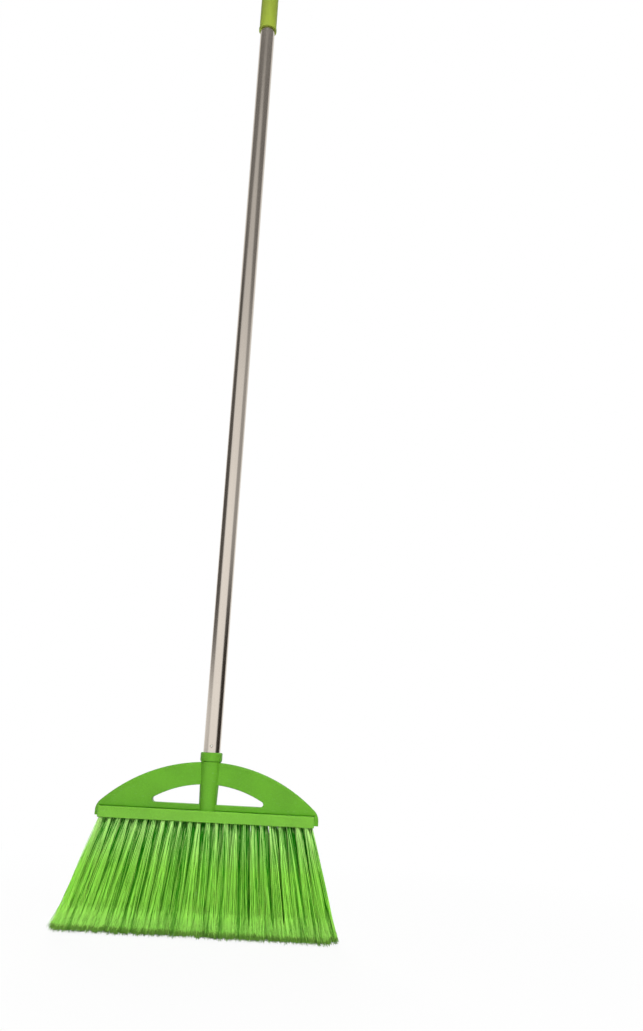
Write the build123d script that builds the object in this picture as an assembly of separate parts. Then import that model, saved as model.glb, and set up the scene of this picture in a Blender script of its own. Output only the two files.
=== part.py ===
"""Upright broom: a steel handle screwed into a moulded arch head that carries staple-set bristle tufts."""
import os

from build123d import *

# All lengths are in millimetres. The origin is on the floor under the handle.
# X runs along the head, Y from its front to its back, Z up the handle.

# Bristle tufts
bristle_length = 135.5  # from the block's underside to the trimmed tips
tuft_columns = 24
tuft_rows = 4
tuft_width = 5.0  # square bundle at its root
tuft_gap = 6.1  # between bundles along the head
row_gap = 1.4  # between rows across the head
strand_gap = 1.0  # between the strands of one bundle
strand_swell = 1.3  # width of a strand's tip over its root, where the ends are split
strand_root_depth = 0.5  # how deep a strand is set in its slice of backing
fan_along = 1.335  # spread of the tips over the roots along the head
fan_across = 1.7  # and across it

# Tuft block
block_end_wall = 2.7
block_side_wall = 2.2
block_web = 2.9  # solid core between the anchors and the groove
block_corner = 1.5
block_edge = 1.2
slice_thickness = 4.0  # backing that the bundles stand in
slice_clearance = 0.1
slice_margin = 0.5  # backing left beside the outermost bundle
anchor_width = 4.0  # flat wire staple, one in each bundle
anchor_thickness = 0.8
anchor_height = 2.5
anchor_clearance = 0.1

# Arch plate
arch_rise = 59.5  # crown of the arch above the block
shoulder_rise = 6.6  # where the arch turns down to the end lips
shoulder_run = 5.5
lip_reach = 5.2  # end lip beyond the block's end
lip_drop = 11.5  # and below the block's top
lip_gap = 0.1
seam_relief = 1.2  # bevel along the plate's foot
plate_thickness = 12.0
plate_edge = 2.2
tongue_thickness = 5.0
tongue_depth = 4.0
tongue_end = 14.0  # from the block's end to the tongue's
tongue_clearance = 0.15
window_sill = 7.5  # rail left under the window
window_length = 158.0
window_height = 24.5
window_corner = 3.5
window_edge = 0.8

# Socket
column_foot = 22.0
column_wall = 4.2
neck_groove = 0.9
collar_lift = 0.7  # collar's lower edge above the crown of the arch
collar_height = 11.3
collar_wall = 2.7
collar_edge = 1.6
socket_clearance = 0.3
socket_depth = 10.0  # wide mouth that takes the tube's end
bore_relief = 4.0  # room under the screw's end
bore_point = 3.0  # cone at the bottom of the bore

# Handle
tube_diameter = 22.0
tube_wall = 0.6
tube_exposed = 1090.0  # from the collar to the grip
thread_diameter = 17.0
thread_length = 30.0
thread_chamfer = 1.5
flange_thickness = 2.0
plug_length = 40.0
plug_clearance = 0.05
crimp_height = 8.0  # punch marks above the collar
crimp_radius = 2.4
crimp_depth = 1.1

# Hand grip
grip_wall = 1.95
grip_clearance = 0.05
grip_cover = 70.0  # length over the tube
grip_cap = 28.0  # solid end above the tube
grip_round = 7.0
grip_rim = 0.6  # bead at the open end
grip_rim_height = 4.0
hang_hole = 7.0
hang_hole_drop = 12.0  # hole's centre under the top

# Sizes that follow
strand_root = (tuft_width - strand_gap) / 2
strand_tip = strand_root * strand_swell
strand_spacing = strand_root + strand_gap
tuft_pitch = tuft_width + tuft_gap
row_pitch = tuft_width + row_gap
slice_width = tuft_pitch - 2 * slice_clearance
row_stagger = (slice_width - tuft_width) / 2 - slice_margin
field_length = tuft_columns * tuft_pitch
field_depth = tuft_rows * row_pitch
block_length = field_length + 2 * block_end_wall
block_depth = field_depth + 2 * block_side_wall
anchor_seat = anchor_height + anchor_clearance
groove_depth = tongue_depth + tongue_clearance
block_height = slice_thickness + anchor_seat + block_web + groove_depth
block_bottom = bristle_length
slice_top = block_bottom + slice_thickness
block_top = block_bottom + block_height

plate_half = block_length / 2 + lip_reach
lip_bottom = block_top - lip_drop
shoulder_x = plate_half - shoulder_run
shoulder_z = block_top + shoulder_rise
crown_z = block_top + arch_rise

tube_radius = tube_diameter / 2
bore_radius = thread_diameter / 2 + socket_clearance
mouth_radius = tube_radius + socket_clearance
column_radius = bore_radius + column_wall
collar_radius = mouth_radius + collar_wall
collar_bottom = crown_z + collar_lift
collar_top = collar_bottom + collar_height
seat_z = collar_top - socket_depth
bore_bottom = seat_z - thread_length - bore_relief

tube_bottom = seat_z + flange_thickness
grip_bottom = collar_top + tube_exposed
tube_top = grip_bottom + grip_cover
grip_top = tube_top + grip_cap
grip_bore = tube_radius + grip_clearance
grip_radius = grip_bore + grip_wall
crimp_z = collar_top + crimp_height
crimp_offset = tube_radius + crimp_radius - crimp_depth


def turned(*points):
    """Solid of revolution about the handle's axis from (radius, height) points."""
    return revolve(Plane.XZ * make_face(Polyline(*points, close=True)), Axis.Z)


def tuft_centres(column):
    """Root centres of the bundles in one cross row; alternate rows are staggered along the head."""
    x = (column - (tuft_columns - 1) / 2) * tuft_pitch
    for row in range(tuft_rows):
        side = 1 if row % 2 else -1
        yield x + side * row_stagger, (row - (tuft_rows - 1) / 2) * row_pitch


def square_at(x, y, z, width):
    """Corner points of a level square."""
    half = width / 2
    return [(x - half, y - half, z), (x + half, y - half, z), (x + half, y + half, z), (x - half, y + half, z)]


def strand(x, y):
    """Four-sided strand from its root in the backing to its flat tip on the floor, leaning out with the fan."""
    root_z = block_bottom + strand_root_depth
    root = square_at(x, y, root_z, strand_root)
    tip = square_at(x * fan_along, y * fan_across, 0, strand_tip)
    sides = [[root[i], root[(i + 1) % 4], tip[(i + 1) % 4], tip[i]] for i in range(4)]
    faces = [Face(Wire.make_polygon(corners)) for corners in (root, tip, *sides)]
    return Solid(Shell(faces))


def tuft_row(column):
    """One cross row of bundles, fused to its slice of the backing."""
    x = (column - (tuft_columns - 1) / 2) * tuft_pitch
    backing = Pos(x, 0, slice_top - slice_thickness / 2) * Box(
        slice_width, field_depth - 2 * slice_clearance, slice_thickness)
    step = strand_spacing / 2
    strands = [
        strand(tx + dx, ty + dy)
        for tx, ty in tuft_centres(column)
        for dx in (-step, step)
        for dy in (-step, step)]
    return backing.fuse(*strands)


def anchor_blocks(clearance):
    """Flat wire staples over the bundles, or, with a clearance, the pockets that they stand in."""
    size = (anchor_width + 2 * clearance, anchor_thickness + 2 * clearance, anchor_height + clearance)
    middle = slice_top + size[2] / 2
    return [
        Pos(x, y, middle) * Box(*size)
        for column in range(tuft_columns)
        for x, y in tuft_centres(column)]


def tuft_block():
    """Bar with the tuft field let into its underside and a groove for the plate's tongue along its top."""
    bar = Pos(0, 0, block_bottom) * extrude(
        RectangleRounded(block_length, block_depth, block_corner), amount=block_height)
    rims = bar.faces().sort_by(Axis.Z)
    bar = fillet(rims[0].edges() + rims[-1].edges(), radius=block_edge)
    field = Pos(0, 0, slice_top - slice_thickness / 2) * Box(field_length, field_depth, slice_thickness)
    groove = Pos(0, 0, block_top - groove_depth / 2) * Box(
        block_length - 2 * tongue_end + 2 * tongue_clearance,
        tongue_thickness + 2 * tongue_clearance,
        groove_depth)
    return bar.cut(field, groove, *anchor_blocks(anchor_clearance))


def arch_outline():
    """Front outline of the plate: one arc over the crown, a tangent turn to either upright lip, a straight foot."""
    crown = ThreePointArc((-shoulder_x, shoulder_z), (0, crown_z), (shoulder_x, shoulder_z))
    chord = crown % 1 + Vector(0, -1)  # halfway between the arc's end and straight down
    turn_end = crown @ 1 + chord * (shoulder_run / chord.X)
    turn = TangentArc(crown @ 1, turn_end, tangent=crown % 1)
    inner = block_length / 2 + lip_gap
    lip = Polyline(turn_end, (plate_half, lip_bottom), (inner, lip_bottom), (inner, block_top))
    foot = Line((inner, block_top), (-inner, block_top))
    return make_face([crown, turn, lip, foot, mirror(lip, Plane.YZ), mirror(turn, Plane.YZ)])


def window_outline():
    """D-shaped window with rounded corners over a level sill."""
    sill = block_top + window_sill
    half = window_length / 2
    arc = ThreePointArc((-half, sill), (0, sill + window_height), (half, sill))
    outline = make_face([arc, Line((half, sill), (-half, sill))])
    return fillet(outline.vertices(), radius=window_corner)


def front_and_back(plate):
    """Flat faces of the plate on its two sides."""
    sides = plate.faces().sort_by(Axis.Y)
    return sides[0], sides[-1]


def arch_plate():
    """Flat plate, rounded over the arch and round the window, with a bevel along its foot."""
    plate = extrude(Plane.XZ * arch_outline(), amount=plate_thickness / 2, both=True)
    outer = [
        edge for side in front_and_back(plate) for edge in side.edges()
        if edge.geom_type != GeomType.LINE or abs(edge.center().X) > plate_half - plate_edge]
    plate = fillet(outer, radius=plate_edge)
    plate -= extrude(Plane.XZ * window_outline(), amount=plate_thickness, both=True)
    rims = [edge for side in front_and_back(plate) for edge in side.inner_wires()[0].edges()]
    plate = fillet(rims, radius=window_edge)
    feet = [side.edges().filter_by(Axis.X).sort_by(SortBy.LENGTH)[-1] for side in front_and_back(plate)]
    return chamfer(feet, length=seam_relief)


def socket_column():
    """Turned column from the block to the collar, with a groove under the collar."""
    foot = column_foot / 2
    column = turned(
        (0, block_top), (foot, block_top),
        (column_radius, collar_bottom - neck_groove), (column_radius - neck_groove, collar_bottom),
        (collar_radius, collar_bottom), (collar_radius, collar_top), (0, collar_top))
    rims = column.edges().filter_by(GeomType.CIRCLE).filter_by(lambda edge: edge.radius > column_radius)
    return fillet(rims, radius=collar_edge)


def socket_bore():
    """Wide mouth for the tube's end over the screw's bore."""
    return turned(
        (0, collar_top + socket_depth), (mouth_radius, collar_top + socket_depth), (mouth_radius, seat_z),
        (bore_radius, seat_z), (bore_radius, bore_bottom), (0, bore_bottom - bore_point))


def head_frame():
    """Arch plate, socket column and the tongue that goes into the block."""
    tongue = Pos(0, 0, block_top - tongue_depth / 2) * Box(
        block_length - 2 * tongue_end, tongue_thickness, tongue_depth)
    return arch_plate() + tongue + socket_column() - socket_bore()


def crimp_marks(radius):
    """Balls that press the two punch marks, front and back."""
    return [Pos(0, side * crimp_offset, crimp_z) * Sphere(radius) for side in (-1, 1)]


def tube_rod(radius):
    """Full rod along the tube's length."""
    return Pos(0, 0, tube_bottom) * extrude(Circle(radius), amount=tube_top - tube_bottom)


def handle_tube():
    """Thin-walled tube whose wall is pressed in at the punch marks."""
    bore_rod = tube_rod(tube_radius - tube_wall)
    wall = tube_rod(tube_radius) - bore_rod
    inner_wall = tube_rod(tube_radius - tube_wall / 2)
    for mark, bulge in zip(crimp_marks(crimp_radius), crimp_marks(crimp_radius + tube_wall)):
        wall = wall + (bulge & inner_wall) - mark
    return wall


def threaded_insert():
    """Plug inside the tube, flange under the tube's end and the screw below it."""
    plug_radius = tube_radius - tube_wall - plug_clearance
    thread_radius = thread_diameter / 2
    screw_end = seat_z - thread_length
    insert = turned(
        (0, screw_end), (thread_radius - thread_chamfer, screw_end), (thread_radius, screw_end + thread_chamfer),
        (thread_radius, seat_z), (tube_radius, seat_z), (tube_radius, tube_bottom),
        (plug_radius, tube_bottom), (plug_radius, tube_bottom + plug_length), (0, tube_bottom + plug_length))
    return insert.cut(*crimp_marks(crimp_radius + tube_wall + plug_clearance))


def hand_grip():
    """Sleeve over the tube's top with a beaded open end, a domed cap and a cross hole."""
    rim_radius = grip_radius + grip_rim
    rim_top = grip_bottom + grip_rim_height
    sleeve = turned(
        (0, grip_bottom), (rim_radius, grip_bottom), (rim_radius, rim_top - grip_rim), (grip_radius, rim_top),
        (grip_radius, grip_top), (0, grip_top))
    dome = sleeve.faces().sort_by(Axis.Z)[-1].edges()
    sleeve = fillet(dome, radius=grip_round)
    bore = Pos(0, 0, grip_bottom) * extrude(Circle(grip_bore), amount=grip_cover)
    hole = Pos(0, 0, grip_top - hang_hole_drop) * extrude(
        Plane.XZ * Circle(hang_hole / 2), amount=grip_radius + grip_rim, both=True)
    return sleeve - bore - hole


def build():
    """Every piece under its node's name."""
    pieces = {
        "head_frame": head_frame(),
        "tuft_block": tuft_block(),
        "tuft_anchors": Compound(anchor_blocks(0)),
        "handle_tube": handle_tube(),
        "threaded_insert": threaded_insert(),
        "hand_grip": hand_grip(),
    }
    for column in range(tuft_columns):
        pieces[f"tufts_{column + 1:02d}"] = tuft_row(column)
    return pieces


os.makedirs("parts", exist_ok=True)
for name, piece in build().items():
    export_step(piece, f"parts/{name}.step")
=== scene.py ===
import math

import bmesh
import bpy
from bpy.props import FloatProperty, FloatVectorProperty, IntProperty, PointerProperty
from bpy.types import Operator, Panel, PropertyGroup
from mathutils import Matrix, Vector


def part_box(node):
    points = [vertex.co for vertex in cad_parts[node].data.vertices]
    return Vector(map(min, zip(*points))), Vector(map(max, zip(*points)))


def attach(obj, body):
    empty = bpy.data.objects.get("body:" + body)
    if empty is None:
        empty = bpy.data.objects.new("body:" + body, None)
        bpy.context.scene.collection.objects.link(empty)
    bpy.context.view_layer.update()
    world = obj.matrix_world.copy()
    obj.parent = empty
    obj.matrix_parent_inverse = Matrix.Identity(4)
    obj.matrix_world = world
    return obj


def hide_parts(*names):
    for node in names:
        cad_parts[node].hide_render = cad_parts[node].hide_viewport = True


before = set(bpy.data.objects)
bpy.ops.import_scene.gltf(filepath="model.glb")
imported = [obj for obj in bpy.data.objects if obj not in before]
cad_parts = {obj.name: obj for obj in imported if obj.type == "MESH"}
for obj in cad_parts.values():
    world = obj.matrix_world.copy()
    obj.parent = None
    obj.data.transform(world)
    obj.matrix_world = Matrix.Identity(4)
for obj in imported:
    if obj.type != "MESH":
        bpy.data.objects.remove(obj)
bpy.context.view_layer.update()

bl_info = {
    "name": "Upright broom",
    "version": (1, 0, 0),
    "blender": (4, 5, 0),
    "location": "View3D > Sidebar > Broom",
    "description": "Bristles, screw thread, finishes and studio for the packed broom",
    "category": "Object",
}

# Lengths are in metres.

FULL_TURN = 2 * math.pi
GOLDEN_SHARE = (math.sqrt(5) - 1) / 2
WHITE = (1.0, 1.0, 1.0, 1.0)
SCUFF_COLOUR = (0.8, 0.85, 0.75, 1.0)

# Tufts and their holes
TUFT_NODES = sorted(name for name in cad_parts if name.startswith("tufts_"))
TUFT_ROWS = 4
VERTICES_PER_STAPLE = 24
LEVEL_TOLERANCE = 0.00001
WELD_DISTANCE = 0.000001
HOLE_SIDES = 20

# Inputs of the bristles' tree that have a setting of the same name
COUNT_INPUTS = ("Filaments", "Clump", "Segments", "Splits")
SIZE_INPUTS = (
    "Split share", "Diameter", "Bundle", "Spread along", "Spread across", "Scatter", "Fray", "Sway",
    "Ragged", "Fan along", "Fan across", "Lean")

# Filaments in a tuft
STREAMS_PER_SEED = 16
ROOT_REACH = 0.45  # radius that the clumps root in, over the bundle's width
ROOT_SCATTER = 0.5  # share of a clump's scatter that its roots have
ROOT_AT_TIP = 0.45  # share of a root's offset that the tip keeps
TIP_POWER = 0.6  # under 1, it leaves few tips on the floor
TIP_TAPER = 0.45  # share of the thickness lost along a filament
SHAFT_SIDES = 4
FRAY_SIDES = 3
FRAY_POINTS = 3
FRAY_THICKNESS = 0.7  # over the filament's own
FRAY_BOW = 0.2  # over the filament's own
FRAY_LIFT = 0.5  # most that a split end is shorter, over the unevenness of the tips
OUTER_ROW_PAINTED_LIGHT = 0.44  # painted light: how much paler the outer rows are, with the inner rows darker as painted shade
END_COLUMN_PAINTED_LIGHT = 0.3  # painted light on the end columns
END_POWER = 12  # keeps that to the last columns
PALE_START = -0.37

# Screw end
FLANGE_THICKNESS = 0.002
CREST_RADIUS = 0.0085
PLUG_RADIUS = 0.01035
TIP_CHAMFER = 0.0008
THREAD_START = 0.002  # above the screw's end
THREAD_STOP = 0.0025  # below the flange
THREAD_STEPS = 40  # in a turn
RIDGE_FOOT = 0.36  # half width of the ridge over the pitch
RIDGE_CREST = 0.14
RIDGE_SINK = 0.0003  # depth of the ridge's foot in the core
LATHE_SIDES = 64
SCREW_ROUGHNESS = 0.4
SCREW_GRAIN = 2600.0

# Studio
SENSOR_WIDTH = 36.0  # millimetres
FLOOR_REACH = 6.0
FLOOR_CELLS = 8
FLOOR_WHITE = ((0.03, 0.9), (0.16, 1.0))  # share of white at shares of the reach
SCREEN_RADIUS = 1.8
SCREEN_HEIGHT = 3.2
SCREEN_SIDES = 96

# Dark room, with the angles in degrees and the places between which its parts set in
ROOM_COLOURS = ((0.024, 0.021, 0.018, 1.0), (0.05, 0.043, 0.037, 1.0))
LEFT_EDGE = (-40.0, -62.0)
RIGHT_EDGE = (45.0, 66.0)
LEFT_FOOT = (0.3, 0.6)
LEFT_TOP = (1.75, 2.0)
RIGHT_FOOT = (0.85, 0.6)
CEILING_EDGE = (1.4, 1.75)
BACK_DEPTH = (0.3, 1.0)
BACK_TOP = (1.2, 1.8)
STRIP_HEIGHT = 1.9
STRIP_TURN = 42.0  # reach of the strip to either side at its height
STRIP_TAPER = 36.0  # degrees a metre
STRIP_BLUR = 12.0
STRIP_TONES = ((0.31, 0.0), (0.47, 0.24), (0.61, 0.43), (0.75, 0.46), (0.84, 0.72))


def srgb(red, green, blue):
    """Linear colour of a colour given as 0 to 255 on screen."""
    def linear(value):
        share = value / 255
        return share / 12.92 if share <= 0.04045 else ((share + 0.055) / 1.055) ** 2.4
    return tuple(linear(value) for value in (red, green, blue))


def shade(colour, factor=1.0):
    """A colour made lighter or darker, with the alpha that sockets want."""
    return tuple(min(1.0, channel * factor) for channel in colour) + (1.0,)


def circle(radius, sides):
    """Points round the origin."""
    turns = [FULL_TURN * i / sides for i in range(sides)]
    return [(radius * math.cos(turn), radius * math.sin(turn)) for turn in turns]


class Value:
    """An output socket; Python's operators on it add Math nodes."""

    def __init__(self, graph, socket):
        self.graph = graph
        self.socket = socket

    def __getitem__(self, name):
        return Value(self.graph, pick(self.socket.node.outputs, name))

    def __add__(self, other):
        return self.graph.math("ADD", self, other)

    def __radd__(self, other):
        return self.graph.math("ADD", other, self)

    def __sub__(self, other):
        return self.graph.math("SUBTRACT", self, other)

    def __rsub__(self, other):
        return self.graph.math("SUBTRACT", other, self)

    def __mul__(self, other):
        return self.graph.math("MULTIPLY", self, other)

    def __rmul__(self, other):
        return self.graph.math("MULTIPLY", other, self)

    def __truediv__(self, other):
        return self.graph.math("DIVIDE", self, other)

    def __rtruediv__(self, other):
        return self.graph.math("DIVIDE", other, self)

    def __pow__(self, other):
        return self.graph.math("POWER", self, other)

    def __rpow__(self, other):
        return self.graph.math("POWER", other, self)


def pick(sockets, key):
    """The socket with that number, or the first one in use with that name."""
    if isinstance(key, int):
        return sockets[key]
    for socket in sockets:
        if socket.name == key and socket.enabled:
            return socket
    raise KeyError(f"no socket {key!r} among {[socket.name for socket in sockets]}")


class Graph:
    """Adds nodes to one tree."""

    def __init__(self, tree):
        self.tree = tree

    def node(self, kind, sockets=None, out=0, **settings):
        """A node with its settings, then its sockets' values or links; returns one of its outputs."""
        made = self.tree.nodes.new(kind)
        for name, value in settings.items():
            if name == "stops":
                self.stops(made.color_ramp, value)
            else:
                setattr(made, name, value)
        for key, value in (sockets or {}).items():
            target = pick(made.inputs, key)
            for one in value if isinstance(value, list) else [value]:
                self.feed(target, one)
        return Value(self, pick(made.outputs, out)) if len(made.outputs) else None

    def feed(self, target, value):
        """Links an output to a socket, or sets the socket's own value."""
        if isinstance(value, Value):
            self.tree.links.new(value.socket, target)
        else:
            target.default_value = value

    def stops(self, ramp, stops):
        """Sets a ramp's stops from (place, grey) pairs."""
        while len(ramp.elements) < len(stops):
            ramp.elements.new(1.0)
        for element, (place, grey) in zip(ramp.elements, stops):
            element.position = place
            element.color = (grey, grey, grey, 1.0)

    def math(self, operation, *values):
        """A Math node on values."""
        return self.node("ShaderNodeMath", dict(enumerate(values)), operation=operation)

    def vector(self, operation, sockets, out="Vector"):
        """A Vector Math node."""
        return self.node("ShaderNodeVectorMath", sockets, out, operation=operation)

    def xyz(self, x, y, z):
        """A vector from its parts."""
        return self.node("ShaderNodeCombineXYZ", {0: x, 1: y, 2: z})

    def parts(self, vector):
        """A vector's parts, by the names X, Y and Z."""
        return self.node("ShaderNodeSeparateXYZ", {"Vector": vector})

    def step(self, value, low, high):
        """A smooth step of a value from 0 at low to 1 at high."""
        return self.node(
            "ShaderNodeMapRange", {"Value": value, "From Min": low, "From Max": high}, "Result",
            interpolation_type="SMOOTHSTEP")

    def mix(self, factor, first, second):
        """A blend of two colours."""
        return self.node(
            "ShaderNodeMix", {"Factor": factor, "A": first, "B": second}, "Result", data_type="RGBA")

    def ramp(self, factor, *stops):
        """A grey ramp of a factor."""
        return self.node("ShaderNodeValToRGB", {"Fac": factor}, stops=stops)

    def place(self):
        """Where a point is on its object."""
        return self.node("ShaderNodeTexCoord", out="Object")

    def attribute(self, name):
        """A number that the mesh carries."""
        return self.node("ShaderNodeAttribute", out="Fac", attribute_name=name)

    def stretched(self, place, x, y, z):
        """Coordinates scaled by so much on each axis."""
        return self.node("ShaderNodeMapping", {"Vector": place, "Scale": (x, y, z)})

    def noise(self, place, scale, detail=2.0, roughness=0.5):
        """Noise from 0 to 1 with so many waves a metre."""
        return self.node(
            "ShaderNodeTexNoise",
            {"Vector": place, "Scale": scale, "Detail": detail, "Roughness": roughness})

    def bump(self, height, strength, depth):
        """A normal from a height."""
        return self.node(
            "ShaderNodeBump", {"Height": height, "Strength": strength, "Distance": depth}, "Normal")

    def surface(self, shader):
        """Ends a material's tree."""
        self.node("ShaderNodeOutputMaterial", {"Surface": shader})

    def principled(self, colour, roughness, normal, **constants):
        """Ends a material's tree in a Principled surface, with the constants of its other sockets."""
        sockets = {"Base Color": colour, "Roughness": roughness, "Normal": normal}
        for name, value in constants.items():
            sockets[name.replace("_", " ")] = value
        self.surface(self.node("ShaderNodeBsdfPrincipled", sockets))


def new_material(name):
    """An empty material and the graph of its nodes."""
    material = bpy.data.materials.new(name)
    material.use_nodes = True
    material.node_tree.nodes.clear()
    return material, Graph(material.node_tree)


def moulded_plastic(name, colour, roughness, grain):
    """Injection-moulded plastic: cloudy pigment, soft flow marks, fine spark grain and dull scuffs."""
    material, graph = new_material(name)
    place = graph.place()
    cloud = graph.noise(place, scale=18.0, detail=3.0)
    flow = graph.noise(graph.stretched(place, 3.0, 10.0, 8.0), scale=4.0)
    speck = graph.noise(place, scale=900.0, detail=1.0)
    fine = graph.noise(place, scale=grain, roughness=0.6)
    rubbed = graph.noise(graph.stretched(place, 1.0, 1.0, 3.0), scale=140.0, detail=5.0, roughness=0.7)
    scuff = graph.ramp(rubbed, (0.6, 0.0), (0.75, 1.0))
    tone = graph.ramp(0.5 * cloud + 0.15 * flow + 0.35 * speck, (0.41, 0.0), (0.59, 1.0))
    body = graph.mix(tone, shade(colour, 0.89), shade(colour, 1.11))
    worn = graph.mix(0.1 * scuff, body, SCUFF_COLOUR)
    rough = roughness + 0.1 * cloud + 0.06 * fine + 0.1 * scuff
    normal = graph.bump(0.7 * fine + 0.3 * speck, strength=0.25, depth=0.00006)
    graph.principled(worn, rough, normal, Specular_IOR_Level=0.35)
    return material


def drawn_steel(name, colour, roughness):
    """Cold-drawn steel: long draw lines and cloudy polish."""
    material, graph = new_material(name)
    place = graph.place()
    drawn = graph.stretched(place, 260.0, 260.0, 1.6)
    lines = graph.noise(drawn, scale=4.0, detail=4.0, roughness=0.65)
    cloud = graph.noise(graph.stretched(place, 8.0, 8.0, 3.0), scale=4.0, detail=3.0)
    tone = graph.ramp(0.6 * lines + 0.4 * cloud, (0.3, 0.0), (0.7, 1.0))
    body = graph.mix(tone, shade(colour, 0.93), shade(colour, 1.05))
    rough = roughness + 0.08 * lines + 0.06 * cloud
    graph.principled(body, rough, graph.bump(lines, strength=0.06, depth=0.00002), Metallic=1.0)
    return material


def bristle_plastic(name, deep, light, tip, dull):
    """Extruded filament: each its own tone, with painted light and shade by row and column, whitish
    pale filaments partly as painted sheen, lighter along the split ends, and a painted shadow at the
    very tips.
    """
    material, graph = new_material(name)
    along = graph.attribute("along")
    tone = graph.attribute("tone")
    clump = graph.attribute("clump")
    place = graph.place()
    patchiness = graph.noise(place, scale=420.0)
    streak = graph.noise(graph.stretched(place, 1.0, 1.0, 0.06), scale=700.0)
    # Paleness from the clump's tone: random for each clump, plus painted light on the outer rows and
    # end columns and painted shade on the inner rows.
    share = graph.ramp(0.7 * clump + 0.2 * tone + 0.1 * streak, (0.31, 0.0), (0.66, 1.0))
    split = graph.ramp(along, (0.74, 0.0), (0.88, 1.0)) * (0.6 + 0.4 * patchiness)
    # The whitish colour of the palest filaments is partly their own lighter tone and partly painted
    # sheen, standing in for highlights along the glossy filaments, whose specular is kept low.
    green = graph.ramp(along, (0.08, 0.0), (0.45, 1.0), (0.75, 1.0), (0.9, 0.7))
    pale = graph.mix(green, shade(light), shade(tip))
    paleness = graph.math("MINIMUM", share + 0.1 * along + 0.25 * split, 1.0)
    own = graph.mix(paleness, shade(deep), pale)
    # Painted shadow: the last millimetres of the tips darken towards the dull colour, standing in for
    # the contact shadow at the floor, patchy along the head.
    shadowed = graph.ramp(along, (0.957, 0.0), (0.972, 1.0)) * (0.35 + 0.6 * patchiness)
    ends = graph.mix(shadowed, own, shade(dull))
    rough = 0.42 + 0.2 * along + 0.1 * patchiness
    normal = graph.bump(streak, strength=0.1, depth=0.00003)
    graph.principled(ends, rough, normal, Specular_IOR_Level=0.02)
    return material


def staple_wire(name, colour):
    """Flattened galvanised wire with roller lines."""
    material, graph = new_material(name)
    place = graph.place()
    lines = graph.noise(graph.stretched(place, 1.0, 40.0, 40.0), scale=60.0, detail=3.0)
    tarnish = graph.noise(place, scale=300.0, detail=3.0)
    body = graph.mix(tarnish, shade(colour, 0.7), shade(colour, 1.1))
    normal = graph.bump(lines, strength=0.15, depth=0.00003)
    graph.principled(body, 0.3 + 0.2 * lines, normal, Metallic=1.0)
    return material


def mesh_object(name, bm, material):
    """A linked object from a bmesh, at the origin."""
    mesh = bpy.data.meshes.new(name)
    bm.to_mesh(mesh)
    bm.free()
    mesh.materials.append(material)
    made = bpy.data.objects.new(name, mesh)
    bpy.context.scene.collection.objects.link(made)
    return made


def dress(node, material):
    """Gives a CAD node one material."""
    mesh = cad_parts[node].data
    mesh.materials.clear()
    mesh.materials.append(material)


def place_piece(piece, body, slot, *nodes):
    """Hangs a piece on the body that it rides on and hides the CAD nodes that it stands for; slot is
    not used.
    """
    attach(piece, body)
    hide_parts(*nodes)


def slice_box(name):
    """Corners of a tuft node's slice of backing, above the block's underside."""
    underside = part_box("tuft_block")[0].z - LEVEL_TOLERANCE
    points = [vertex.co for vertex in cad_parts[name].data.vertices if vertex.co.z > underside]
    low = Vector(min(point[axis] for point in points) for axis in range(3))
    high = Vector(max(point[axis] for point in points) for axis in range(3))
    return low, high


def tuft_centres():
    """Places of the tufts, from the staples that hold them, a list for each column from the left."""
    points = [vertex.co.copy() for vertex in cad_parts["tuft_anchors"].data.vertices]
    groups = [points[i:i + VERTICES_PER_STAPLE] for i in range(0, len(points), VERTICES_PER_STAPLE)]
    middles = [sum(group, Vector()) / len(group) for group in groups]
    columns = []
    for name in TUFT_NODES:
        low, high = slice_box(name)
        column = [middle for middle in middles if low.x < middle.x < high.x]
        columns.append(sorted(column, key=lambda middle: middle.y))
    if any(len(column) != TUFT_ROWS for column in columns):
        raise RuntimeError("the staples do not sort into the columns of tufts")
    return columns


def colour_setting(name, description, default):
    """A colour in the panel."""
    return FloatVectorProperty(
        name=name, description=description, default=default, size=3, min=0.0, max=1.0, subtype="COLOR")


def length_setting(name, description, default, low, high):
    """A length in the panel, with its limits."""
    return FloatProperty(
        name=name, description=description, default=default, min=low, max=high, unit="LENGTH",
        precision=5)


def share_setting(name, description, default, low=0.0, high=1.0):
    """A share in the panel, with its limits."""
    return FloatProperty(
        name=name, description=description, default=default, min=low, max=high, subtype="FACTOR")


def angle_setting(name, description, degrees):
    """An angle in the panel."""
    return FloatProperty(
        name=name, description=description, default=math.radians(degrees), subtype="ANGLE",
        unit="ROTATION")


def power_setting(name, description, default):
    """A lamp's power in the panel."""
    return FloatProperty(name=name, description=description, default=default, min=0.0, unit="POWER")


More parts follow.
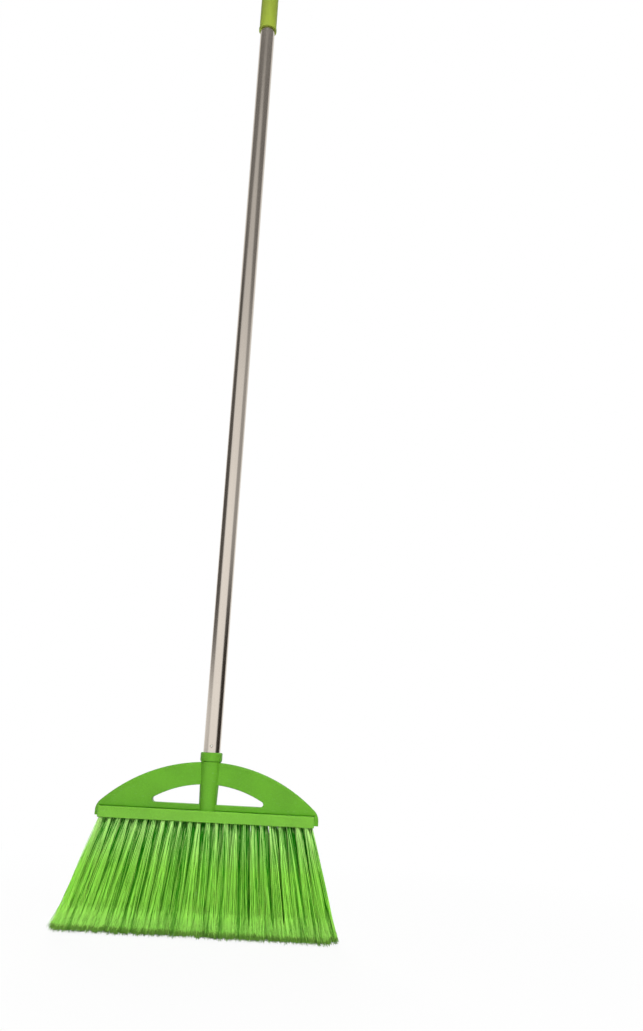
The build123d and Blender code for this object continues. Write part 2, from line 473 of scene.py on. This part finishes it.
class BristleSettings(PropertyGroup):
    """Sizes and colours of the bristles."""

    filaments: IntProperty(
        name="Filaments", description="Filaments in a tuft", default=90, min=8, max=120)
    clump: IntProperty(
        name="Clump", description="Filaments that stay together", default=3, min=1, max=40)
    segments: IntProperty(
        name="Points", description="Points along a filament", default=8, min=3, max=24)
    splits: IntProperty(
        name="Split ends", description="Thin ends that a filament frays into", default=4, min=0, max=5)
    split_share: share_setting("Split share", "Share of the length that is not frayed", 0.8, 0.5, 0.98)
    diameter: length_setting("Diameter", "Thickness of a filament", 0.00074, 0.0001, 0.003)
    bundle: length_setting("Bundle", "Width of a tuft where it leaves the block", 0.005, 0.001, 0.01)
    spread_along: length_setting(
        "Spread along", "How far a tuft's clumps open along the head", 0.007, 0.0, 0.03)
    spread_across: length_setting(
        "Spread across", "How far a tuft's clumps open across the head", 0.0062, 0.0, 0.03)
    scatter: length_setting("Scatter", "Radius that a clump's filaments open to", 0.0012, 0.0, 0.02)
    fray: length_setting("Fray", "Radius that split ends open to", 0.0035, 0.0, 0.02)
    sway: length_setting("Sway", "How far a filament bows", 0.0016, 0.0, 0.02)
    ragged: length_setting("Ragged", "How uneven the tips are", 0.0055, 0.0, 0.03)
    fan_along: FloatProperty(
        name="Fan along", description="How far the tufts fan out along the head",
        default=1.29, min=1.0, max=2.0)
    fan_across: FloatProperty(
        name="Fan across", description="How far the tufts fan out across the head",
        default=1.6, min=1.0, max=2.5)
    lean: length_setting("Lean", "How far use has bent the tips along the head", -0.004, -0.03, 0.03)
    seed: IntProperty(name="Seed", description="Start of the random draws", default=23, min=0)
    deep: colour_setting("Deep", "Colour of the darkest filaments", srgb(20, 140, 0))
    # The palest filaments' whitish colour is partly painted sheen.
    light: colour_setting("Light", "Colour of the palest filaments", srgb(202, 252, 146))
    tip: colour_setting("Split ends", "Colour of the frayed ends", srgb(182, 255, 100))
    # Painted shadow colour for the last millimetres of the tips.
    dull: colour_setting("Tips", "Colour of the dusty tips", srgb(78, 116, 40))


class MouldingSettings(PropertyGroup):
    """Colours and finish of the moulded pieces."""

    frame_colour: colour_setting("Head", "Colour of the arch and its socket", srgb(97, 163, 38))
    block_colour: colour_setting("Block", "Colour of the tuft block", srgb(113, 178, 54))
    grip_colour: colour_setting("Grip", "Colour of the hand grip", srgb(152, 172, 54))
    roughness: share_setting("Roughness", "Roughness of the head's plastic", 0.36)
    grip_roughness: share_setting("Grip roughness", "Roughness of the grip's plastic", 0.42)
    grain: FloatProperty(
        name="Grain", description="Waves a metre in the moulded grain",
        default=2200.0, min=100.0, max=9000.0)
    hole_width: length_setting(
        "Tuft hole", "Diameter of the holes that the tufts stand in", 0.0052, 0.002, 0.008)


class HandleSettings(PropertyGroup):
    """Sizes and finish of the tube, its screw end and the staples."""

    steel: colour_setting("Tube", "Colour of the tube's steel", srgb(222, 212, 200))
    roughness: share_setting("Roughness", "Roughness of the tube", 0.12)
    insert_colour: colour_setting("Screw end", "Colour of the screw end", srgb(219, 217, 210))
    wire: colour_setting("Staples", "Colour of the tuft staples", srgb(195, 195, 196))
    pitch: length_setting("Pitch", "Rise of the screw thread in a turn", 0.005, 0.001, 0.01)
    depth: length_setting("Depth", "Depth of the screw thread", 0.0014, 0.0002, 0.003)


class StageSettings(PropertyGroup):
    """Camera, light and floor."""

    eye: FloatVectorProperty(
        name="Camera", description="Place of the camera", default=(0.1242, -1.2591, 0.2346), size=3,
        subtype="TRANSLATION", unit="LENGTH")
    pitch: angle_setting("Pitch", "How far the camera looks up", 13.69)
    roll: angle_setting("Roll", "How far the camera is rolled", 3.1)
    lens: FloatProperty(
        name="Lens", description="Focal length on a 36 mm long side",
        default=33.17, min=10.0, max=200.0)
    ambient: FloatProperty(
        name="Ambient", description="Light from all round", default=0.16, min=0.0, max=2.0)
    key: power_setting("Key", "Power of the key light", 12.4)
    key_spread: angle_setting("Key spread", "How wide the key light opens", 90.0)
    top: power_setting("Top", "Power of the light above", 16.0)
    back: power_setting("Back", "Power of the light behind", 42.0)
    floor: colour_setting("Floor", "Colour of the floor", (0.9, 0.9, 0.9))


def new_bristle_tree():
    """An empty tree with the bristles' inputs."""
    tree = bpy.data.node_groups.new("Bristle tufts", "GeometryNodeTree")
    tree.is_modifier = True
    tree.interface.new_socket(name="Geometry", in_out="OUTPUT", socket_type="NodeSocketGeometry")
    kinds = (
        ("NodeSocketGeometry", ("Geometry",)),
        ("NodeSocketInt", COUNT_INPUTS + ("Seed",)),
        ("NodeSocketFloat", SIZE_INPUTS + ("Outer row", "End column")),
        ("NodeSocketMaterial", ("Material",)))
    for kind, names in kinds:
        for name in names:
            tree.interface.new_socket(name=name, in_out="INPUT", socket_type=kind)
    return tree


class TuftGraph(Graph):
    """Adds the nodes that grow a tuft of frayed filaments from each point."""

    def __init__(self, tree):
        super().__init__(tree)
        self.given = self.node("NodeGroupInput")
        self.index = self.node("GeometryNodeInputIndex")
        self.position = self.node("GeometryNodeInputPosition")

    def random(self, low, high, number, stream):
        """A random value for each number, from one stream of the seed."""
        seed = self.given["Seed"] * STREAMS_PER_SEED + stream
        return self.node(
            "FunctionNodeRandomValue", {"Min": low, "Max": high, "ID": number, "Seed": seed}, "Value",
            data_type="FLOAT")

    def disc(self, radius, number, stream):
        """A random place in a level disc, from two streams."""
        turn = self.random(0.0, FULL_TURN, number, stream)
        reach = radius * self.random(0.0, 1.0, number, stream + 1) ** 0.5
        return self.xyz(reach * self.math("COSINE", turn), reach * self.math("SINE", turn), 0.0)

    def box(self, along, across, number, stream):
        """A random place in a level rectangle, from two streams."""
        x = along * self.random(-1.0, 1.0, number, stream)
        y = across * self.random(-1.0, 1.0, number, stream + 1)
        return self.xyz(x, y, 0.0)

    def add(self, first, second):
        """The sum of two vectors."""
        return self.vector("ADD", {0: first, 1: second})

    def scale(self, vector, factor):
        """A vector times a factor."""
        return self.vector("SCALE", {0: vector, "Scale": factor})

    def between(self, first, second, factor):
        """A blend of two vectors."""
        return self.add(self.scale(first, 1 - factor), self.scale(second, factor))

    def bowed(self, start, end, bow, step):
        """A place along a line that bows most at its middle."""
        return self.add(self.between(start, end, step), self.scale(bow, 4 * step * (1 - step)))

    def keep(self, geometry, kind, name, value):
        """The geometry with a value kept on its points."""
        return self.node(
            "GeometryNodeStoreNamedAttribute", {"Geometry": geometry, "Name": name, "Value": value},
            data_type=kind, domain="POINT")

    def kept(self, name):
        """A vector kept on the points."""
        return self.node(
            "GeometryNodeInputNamedAttribute", {"Name": name}, "Attribute", data_type="FLOAT_VECTOR")

    def copies(self, points, amount):
        """So many points in place of each."""
        return self.node(
            "GeometryNodeDuplicateElements", {"Geometry": points, "Amount": amount}, domain="POINT")

    def strands(self):
        """A point for each filament, with its ends, its bow and its tones."""
        given, index = self.given, self.index
        strands = self.copies(given["Geometry"], given["Filaments"])
        group = self.math("FLOOR", (index + 0.5) / given["Clump"])
        beside = self.disc(given["Scatter"], index, stream=6)
        rooted = self.disc(given["Bundle"] * ROOT_REACH, group, stream=1)
        own = self.add(rooted, self.scale(beside, ROOT_SCATTER))
        parts = self.parts(self.position)
        lift = self.random(0.0, 1.0, index, stream=3) ** TIP_POWER * given["Ragged"]
        fanned = self.xyz(
            parts["X"] * given["Fan along"] + given["Lean"], parts["Y"] * given["Fan across"], lift)
        spread = self.box(given["Spread along"], given["Spread across"], group, stream=4)
        opened = self.add(spread, beside)
        # The clump's tone is random, with painted light added: the outer rows and the end columns come
        # out paler, and the inner rows darker as painted shade.
        outer = self.math("ABSOLUTE", parts["Y"]) / given["Outer row"]
        at_end = (self.math("ABSOLUTE", parts["X"]) / given["End column"]) ** END_POWER
        even = self.math("FRACT", GOLDEN_SHARE * group + self.random(0.0, 1.0, 0, stream=9))
        clump = even + OUTER_ROW_PAINTED_LIGHT * outer + END_COLUMN_PAINTED_LIGHT * at_end + PALE_START
        group_bow = self.disc(given["Sway"], group, stream=10)
        own_bow = self.disc(given["Sway"], index, stream=12)
        end = self.add(fanned, self.add(opened, self.scale(own, ROOT_AT_TIP)))
        strands = self.keep(strands, "FLOAT", "tone", self.random(0.0, 1.0, index, stream=8))
        strands = self.keep(strands, "FLOAT", "clump", clump)
        strands = self.keep(strands, "FLOAT_VECTOR", "bow", self.add(group_bow, own_bow))
        strands = self.keep(strands, "FLOAT_VECTOR", "end", end)
        return self.keep(strands, "FLOAT_VECTOR", "start", self.add(self.position, own))

    def frays(self, strands):
        """A point for each split end, with its own ends."""
        given, index = self.given, self.index
        end = self.kept("end")
        knee = self.bowed(self.kept("start"), end, self.kept("bow"), given["Split share"])
        lift = self.random(0.0, FRAY_LIFT, index, stream=16) * given["Ragged"]
        loose = self.add(self.disc(given["Fray"], index, stream=14), self.xyz(0.0, 0.0, lift))
        frays = self.copies(strands, given["Splits"])
        frays = self.keep(frays, "FLOAT_VECTOR", "knee", knee)
        return self.keep(frays, "FLOAT_VECTOR", "fray", self.add(end, loose))

    def swept(self, points, count, start, end, bow, thickness, first, share, sides):
        """A tapered, bowed rod at each point, which knows how far along the filament it is."""
        line = self.node("GeometryNodeCurvePrimitiveLine", {"Start": (0, 0, 0), "End": (0, 0, 1)})
        line = self.node("GeometryNodeResampleCurve", {"Curve": line, "Count": count})
        lines = self.node("GeometryNodeInstanceOnPoints", {"Points": points, "Instance": line})
        lines = self.node("GeometryNodeRealizeInstances", {"Geometry": lines})
        step = self.node("GeometryNodeSplineParameter", out="Factor")
        place = self.bowed(start, end, bow, step)
        lines = self.node("GeometryNodeSetPosition", {"Geometry": lines, "Position": place})
        lines = self.keep(lines, "FLOAT", "along", first + share * step)
        ring = self.node("GeometryNodeCurvePrimitiveCircle", {"Resolution": sides, "Radius": 1.0})
        radius = thickness / 2 * (1 - TIP_TAPER * step)
        return self.node(
            "GeometryNodeCurveToMesh",
            {"Curve": lines, "Profile Curve": ring, "Scale": radius, "Fill Caps": True})


def bristle_tree():
    """Geometry nodes that grow a tuft of frayed filaments from each point."""
    tree = new_bristle_tree()
    graph = TuftGraph(tree)
    given = graph.given
    share = given["Split share"]
    bow = graph.kept("bow")
    strands = graph.strands()
    shafts = graph.swept(
        strands, given["Segments"], graph.kept("start"), graph.kept("end"), bow, given["Diameter"],
        first=0.0, share=1.0, sides=SHAFT_SIDES)
    ends = graph.swept(
        graph.frays(strands), FRAY_POINTS, graph.kept("knee"), graph.kept("fray"),
        graph.scale(bow, FRAY_BOW), given["Diameter"] * FRAY_THICKNESS,
        first=share, share=1 - share, sides=FRAY_SIDES)
    joined = graph.node("GeometryNodeJoinGeometry", {"Geometry": [shafts, ends]})
    joined = graph.node("GeometryNodeSetShadeSmooth", {"Geometry": joined, "Shade Smooth": True})
    joined = graph.node("GeometryNodeRealizeInstances", {"Geometry": joined})
    joined = graph.node("GeometryNodeSetMaterial", {"Geometry": joined, "Material": given["Material"]})
    graph.node("NodeGroupOutput", {"Geometry": joined})
    return tree


def socket_of(tree, name):
    """Identifier of a tree's input."""
    for item in tree.interface.items_tree:
        if item.item_type == "SOCKET" and item.in_out == "INPUT" and item.name == name:
            return item.identifier
    raise KeyError(name)


class BROOM_OT_bristles(Operator):
    """Grow the bristle tufts from their staples, a piece for each cross row"""

    bl_idname = "broom.bristles"
    bl_label = "Grow bristles"

    def execute(self, context):
        look = context.scene.broom_bristles
        tree = bristle_tree()
        columns = tuft_centres()
        top = slice_box(TUFT_NODES[0])[1].z
        values = {
            name: getattr(look, name.lower().replace(" ", "_")) for name in COUNT_INPUTS + SIZE_INPUTS}
        values["End column"] = max(centre.x for centre in columns[-1])
        values["Material"] = bristle_plastic(
            "Broom bristle", look.deep, look.light, look.tip, look.dull)
        for number, (node, centres) in enumerate(zip(TUFT_NODES, columns)):
            values["Seed"] = look.seed + number
            values["Outer row"] = max(centre.y for centre in centres)
            roots = [(centre.x, centre.y, top) for centre in centres]
            piece = self.grow(context, node.replace("tufts", "bristles"), roots, tree, values)
            place_piece(piece, "head", "bristle", node)
        return {"FINISHED"}

    def grow(self, context, name, roots, tree, values):
        """A piece with a tuft on each root."""
        bm = bmesh.new()
        for root in roots:
            bm.verts.new(root)
        growing = mesh_object("growing", bm, values["Material"])
        modifier = growing.modifiers.new("Bristles", "NODES")
        modifier.node_group = tree
        for key, value in values.items():
            modifier[socket_of(tree, key)] = value
        seen = growing.evaluated_get(context.evaluated_depsgraph_get())
        mesh = bpy.data.meshes.new_from_object(seen)
        growing.modifiers.remove(modifier)
        bpy.data.objects.remove(growing)
        if not mesh.polygons:
            raise RuntimeError(f"{name} has no filaments")
        for helper in ("start", "end", "bow", "knee", "fray"):
            mesh.attributes.remove(mesh.attributes[helper])
        piece = bpy.data.objects.new(name, mesh)
        context.scene.collection.objects.link(piece)
        return piece


class BROOM_OT_seats(Operator):
    """Make the underside of the block with the hole of every tuft"""

    bl_idname = "broom.seats"
    bl_label = "Cut tuft holes"

    def execute(self, context):
        look = context.scene.broom_mouldings
        boxes = [slice_box(name) for name in TUFT_NODES]
        low, high = boxes[0]
        cuts = [(left[1].x + right[0].x) / 2 for left, right in zip(boxes, boxes[1:])]
        cuts = [low.x, *cuts, boxes[-1][1].x]
        hole = circle(look.hole_width / 2, HOLE_SIDES)
        bm = bmesh.new()
        for column, left, right in zip(tuft_centres(), cuts, cuts[1:]):
            rings = [[(left, low.y), (right, low.y), (right, high.y), (left, high.y)]]
            rings += [[(centre.x + x, centre.y + y) for x, y in hole] for centre in column]
            self.fill(bm, rings, low.z)
        bmesh.ops.remove_doubles(bm, verts=bm.verts, dist=WELD_DISTANCE)
        lifted = bmesh.ops.extrude_face_region(bm, geom=bm.faces[:], use_keep_orig=True)
        for item in lifted["geom"]:
            if isinstance(item, bmesh.types.BMVert):
                item.co.z = high.z
        bmesh.ops.recalc_face_normals(bm, faces=bm.faces)
        material = moulded_plastic(
            "Broom block underside", look.block_colour, look.roughness, look.grain)
        piece = mesh_object("tuft_holes", bm, material)
        place_piece(piece, "head", "block_plastic", *TUFT_NODES)
        return {"FINISHED"}

    def fill(self, bm, rings, level):
        """Level faces inside the first ring and outside the others."""
        outline = []
        for ring in rings:
            corners = [bm.verts.new((x, y, level)) for x, y in ring]
            outline += [bm.edges.new(pair) for pair in zip(corners, corners[1:] + corners[:1])]
        bmesh.ops.triangle_fill(bm, edges=outline, use_beauty=True, normal=(0, 0, -1))


class BROOM_OT_mouldings(Operator):
    """Finish the head frame, the tuft block and the hand grip in moulded plastic"""

    bl_idname = "broom.mouldings"
    bl_label = "Finish mouldings"

    def execute(self, context):
        look = context.scene.broom_mouldings
        finishes = (
            ("head_frame", "Broom head", look.frame_colour, look.roughness),
            ("tuft_block", "Broom block", look.block_colour, look.roughness),
            ("hand_grip", "Broom grip", look.grip_colour, look.grip_roughness))
        for node, name, colour, roughness in finishes:
            dress(node, moulded_plastic(name, colour, roughness, look.grain))
        return {"FINISHED"}


class BROOM_OT_tube(Operator):
    """Finish the tube in drawn steel and the staples in wire"""

    bl_idname = "broom.tube"
    bl_label = "Finish tube"

    def execute(self, context):
        look = context.scene.broom_handle
        dress("handle_tube", drawn_steel("Broom tube", look.steel, look.roughness))
        dress("tuft_anchors", staple_wire("Broom staple", look.wire))
        return {"FINISHED"}


class BROOM_OT_screw(Operator):
    """Make the screw end of the tube with its thread"""

    bl_idname = "broom.screw"
    bl_label = "Cut screw thread"

    def execute(self, context):
        look = context.scene.broom_handle
        low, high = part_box("threaded_insert")
        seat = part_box("handle_tube")[0].z
        shoulder = seat - FLANGE_THICKNESS
        core = CREST_RADIUS - look.depth
        profile = [
            (0.0, low.z), (core - TIP_CHAMFER, low.z), (core, low.z + TIP_CHAMFER), (core, shoulder),
            (high.x, shoulder), (high.x, seat), (PLUG_RADIUS, seat), (PLUG_RADIUS, high.z),
            (0.0, high.z)]
        bm = bmesh.new()
        self.lathe(bm, profile)
        self.thread(bm, core, look.pitch, low.z + THREAD_START, shoulder - THREAD_STOP)
        bmesh.ops.recalc_face_normals(bm, faces=bm.faces)
        material = moulded_plastic("Broom screw end", look.insert_colour, SCREW_ROUGHNESS, SCREW_GRAIN)
        piece = mesh_object("screw_end", bm, material)
        place_piece(piece, "handle", "insert_plastic", "threaded_insert")
        return {"FINISHED"}

    def lathe(self, bm, profile):
        """Closed surface of a profile of (radius, height) turned about the handle's axis."""
        rings = []
        for radius, height in profile:
            points = circle(radius, LATHE_SIDES) if radius else [(0.0, 0.0)]
            rings.append([bm.verts.new((x, y, height)) for x, y in points])
        for lower, upper in zip(rings, rings[1:]):
            for i in range(LATHE_SIDES):
                corners = [
                    lower[i % len(lower)], lower[(i + 1) % len(lower)],
                    upper[(i + 1) % len(upper)], upper[i % len(upper)]]
                bm.faces.new(list(dict.fromkeys(corners)))

    def thread(self, bm, core, pitch, start, end):
        """Right-hand ridge wound round a core, fading out at both ends."""
        count = int((end - start) / pitch * THREAD_STEPS)
        fade = THREAD_STEPS // 2
        foot = pitch * RIDGE_FOOT
        crest = pitch * RIDGE_CREST
        inside = core - RIDGE_SINK
        rings = []
        for i in range(count + 1):
            angle = FULL_TURN * i / THREAD_STEPS
            height = start + pitch * i / THREAD_STEPS
            share = min(1.0, i / fade, (count - i) / fade)
            top = core + (CREST_RADIUS - core) * share
            ring = [
                (inside, -foot), (core, -foot), (top, -crest), (top, crest), (core, foot),
                (inside, foot)]
            rings.append([
                bm.verts.new((radius * math.cos(angle), radius * math.sin(angle), height + rise))
                for radius, rise in ring])
        for before, after in zip(rings, rings[1:]):
            for j in range(len(before)):
                k = (j + 1) % len(before)
                bm.faces.new((before[j], after[j], after[k], before[k]))
        bm.faces.new(rings[0])
        bm.faces.new(rings[-1][::-1])


class BROOM_OT_stage(Operator):
    """Set the floor, the light and the camera"""

    bl_idname = "broom.stage"
    bl_label = "Set stage"

    def execute(self, context):
        look = context.scene.broom_stage
        context.scene.view_settings.view_transform = "Standard"
        self.world(context.scene, look.ambient)
        self.floor(look.floor)
        self.lamp(
            "Key", look.key, place=(0.5, -1.95, 1.7), target=(0.0, 0.0, 0.3), size=0.9,
            spread=look.key_spread)
        self.lamp("Top", look.top, place=(-0.2, -0.4, 2.7), target=(0.0, 0.0, 0.2), size=1.4)
        self.lamp("Back", look.back, place=(-0.5, 2.4, 0.9), target=(0.0, 0.0, 0.3), size=1.2)
        self.screen()
        self.camera(context.scene, look)
        return {"FINISHED"}

    def camera(self, scene, look):
        """Camera at the photograph's place."""
        camera = bpy.data.objects.new("Camera", bpy.data.cameras.new("Camera"))
        scene.collection.objects.link(camera)
        camera.data.lens = look.lens
        camera.data.sensor_width = SENSOR_WIDTH
        camera.data.sensor_fit = "AUTO"
        tilt = Matrix.Rotation(math.pi / 2 + look.pitch, 4, "X") @ Matrix.Rotation(look.roll, 4, "Z")
        camera.matrix_world = Matrix.Translation(look.eye) @ tilt
        scene.camera = camera

    def world(self, scene, ambient):
        """White to look at and to reflect, and an even light on the object."""
        world = bpy.data.worlds.new("Studio")
        scene.world = world
        world.use_nodes = True
        world.node_tree.nodes.clear()
        graph = Graph(world.node_tree)
        path = graph.node("ShaderNodeLightPath")
        seen = graph.math("MAXIMUM", path["Is Camera Ray"], path["Is Transmission Ray"])
        seen = graph.math("MAXIMUM", seen, path["Is Glossy Ray"])
        strength = ambient + seen * (1 - ambient)
        sky = graph.node("ShaderNodeBackground", {"Color": WHITE, "Strength": strength})
        graph.node("ShaderNodeOutputWorld", {"Surface": sky})

    def lamp(self, name, power, place, target, size, spread=math.pi):
        """A square soft box."""
        light = bpy.data.lights.new(name, "AREA")
        light.size = size
        light.energy = power
        light.spread = spread
        lamp = bpy.data.objects.new(name, light)
        bpy.context.scene.collection.objects.link(lamp)
        lamp.visible_glossy = False
        aim = (Vector(target) - Vector(place)).to_track_quat("-Z", "Y")
        lamp.matrix_world = Matrix.Translation(place) @ aim.to_matrix().to_4x4()

    def floor(self, colour):
        """Pale floor that keeps the shadow and runs out into white."""
        material, graph = new_material("Studio floor")
        place = graph.place()
        away = graph.vector("LENGTH", {0: place}, "Value")
        grit = graph.noise(place, scale=60.0, detail=3.0)
        pale = graph.mix(grit, shade(colour, 0.985), shade(colour))
        matt = graph.node("ShaderNodeBsdfDiffuse", {"Color": pale})
        path = graph.node("ShaderNodeLightPath")
        left, right = self.sides(graph, place)
        dark = 0.9 * graph.math("MAXIMUM", left, right) * path["Is Glossy Ray"]
        shown = graph.mix(dark, WHITE, self.room(graph, place))
        bright = graph.node("ShaderNodeEmission", {"Color": shown, "Strength": 1.0})
        clear = graph.ramp(away / FLOOR_REACH, *FLOOR_WHITE)
        clear = clear * graph.math("MAXIMUM", path["Is Camera Ray"], path["Is Glossy Ray"])
        graph.surface(graph.node("ShaderNodeMixShader", {0: clear, 1: matt, 2: bright}))
        bm = bmesh.new()
        bmesh.ops.create_grid(bm, x_segments=FLOOR_CELLS, y_segments=FLOOR_CELLS, size=FLOOR_REACH)
        mesh_object("Studio floor", bm, material)

    def screen(self):
        """Dark room round the object that only its reflections show."""
        material, graph = new_material("Studio screen")
        place = graph.place()
        black = graph.node("ShaderNodeEmission", {"Color": self.room(graph, place), "Strength": 1.0})
        clear = graph.node("ShaderNodeBsdfTransparent")
        dark = self.dark(graph, place)
        graph.surface(graph.node("ShaderNodeMixShader", {0: dark, 1: clear, 2: black}))
        bm = bmesh.new()
        points = circle(SCREEN_RADIUS, SCREEN_SIDES)
        lower, upper = [
            [bm.verts.new((x, y, level)) for x, y in points] for level in (0.0, SCREEN_HEIGHT)]
        for i in range(SCREEN_SIDES):
            j = (i + 1) % SCREEN_SIDES
            bm.faces.new((lower[i], lower[j], upper[j], upper[i]))
        board = mesh_object("Studio screen", bm, material)
        board.visible_camera = False
        board.visible_diffuse = False
        board.visible_shadow = False

    def turn(self, graph, place):
        """Angle of a place from straight before or behind the object, in degrees to the right."""
        parts = graph.parts(place)
        return graph.math("ARCTAN2", parts["X"], graph.math("ABSOLUTE", parts["Y"])) * (360 / FULL_TURN)

    def sides(self, graph, place):
        """How dark the room is on the left and on the right of the object."""
        turn = self.turn(graph, place)
        return graph.step(turn, *LEFT_EDGE), graph.step(turn, *RIGHT_EDGE)

    def room(self, graph, place):
        """Colour of the dark room."""
        return graph.mix(graph.noise(place, scale=3.0), *ROOM_COLOURS)

    def dark(self, graph, place):
        """How dark the screen is: two sides, and a ceiling with a strip that narrows upwards."""
        parts = graph.parts(place)
        rise = parts["Z"]
        left, right = self.sides(graph, place)
        left = left * (0.15 + 0.78 * graph.step(rise, *LEFT_FOOT) - 0.1 * graph.step(rise, *LEFT_TOP))
        right = right * (0.62 + 0.38 * graph.step(rise, *RIGHT_FOOT))
        away = graph.math("ABSOLUTE", self.turn(graph, place))
        reach = STRIP_TURN - STRIP_TAPER * (rise - STRIP_HEIGHT)
        inside = graph.step(away, reach + STRIP_BLUR, reach - STRIP_BLUR)
        strip = graph.ramp(rise / SCREEN_HEIGHT, *STRIP_TONES)
        beside = 0.83 * graph.step(rise, *CEILING_EDGE)
        ceiling = beside + (strip - beside) * inside
        dark = graph.math("MAXIMUM", graph.math("MAXIMUM", left, right), ceiling)
        behind = graph.step(parts["Y"], *BACK_DEPTH) * graph.step(rise, *BACK_TOP)
        return dark * (1 - 0.8 * behind)


class BROOM_PT_panel(Panel):
    """Sizes, colours and operators of the broom"""

    bl_idname = "BROOM_PT_panel"
    bl_label = "Broom"
    bl_space_type = "VIEW_3D"
    bl_region_type = "UI"
    bl_category = "Broom"

    def draw(self, context):
        for group in SETTINGS:
            settings = getattr(context.scene, group)
            box = self.layout.box()
            for name in settings.__annotations__:
                box.prop(settings, name)
        for operator in STEPS:
            self.layout.operator(operator.bl_idname)


SETTINGS = {
    "broom_bristles": BristleSettings,
    "broom_mouldings": MouldingSettings,
    "broom_handle": HandleSettings,
    "broom_stage": StageSettings,
}
STEPS = (
    BROOM_OT_mouldings, BROOM_OT_tube, BROOM_OT_screw, BROOM_OT_seats, BROOM_OT_bristles,
    BROOM_OT_stage)


def register():
    """Registers the classes and hangs the settings on the scene."""
    for group in SETTINGS.values():
        bpy.utils.register_class(group)
    for name, group in SETTINGS.items():
        setattr(bpy.types.Scene, name, PointerProperty(type=group))
    for operator in STEPS:
        bpy.utils.register_class(operator)
    bpy.utils.register_class(BROOM_PT_panel)


def unregister():
    """Takes everything away that register added."""
    bpy.utils.unregister_class(BROOM_PT_panel)
    for operator in reversed(STEPS):
        bpy.utils.unregister_class(operator)
    for name in SETTINGS:
        delattr(bpy.types.Scene, name)
    for group in SETTINGS.values():
        bpy.utils.unregister_class(group)


def main():
    """Builds the looks in order."""
    register()
    bpy.ops.broom.mouldings()
    bpy.ops.broom.tube()
    bpy.ops.broom.screw()
    bpy.ops.broom.seats()
    bpy.ops.broom.bristles()
    bpy.ops.broom.stage()


if __name__ == "__main__":
    main()
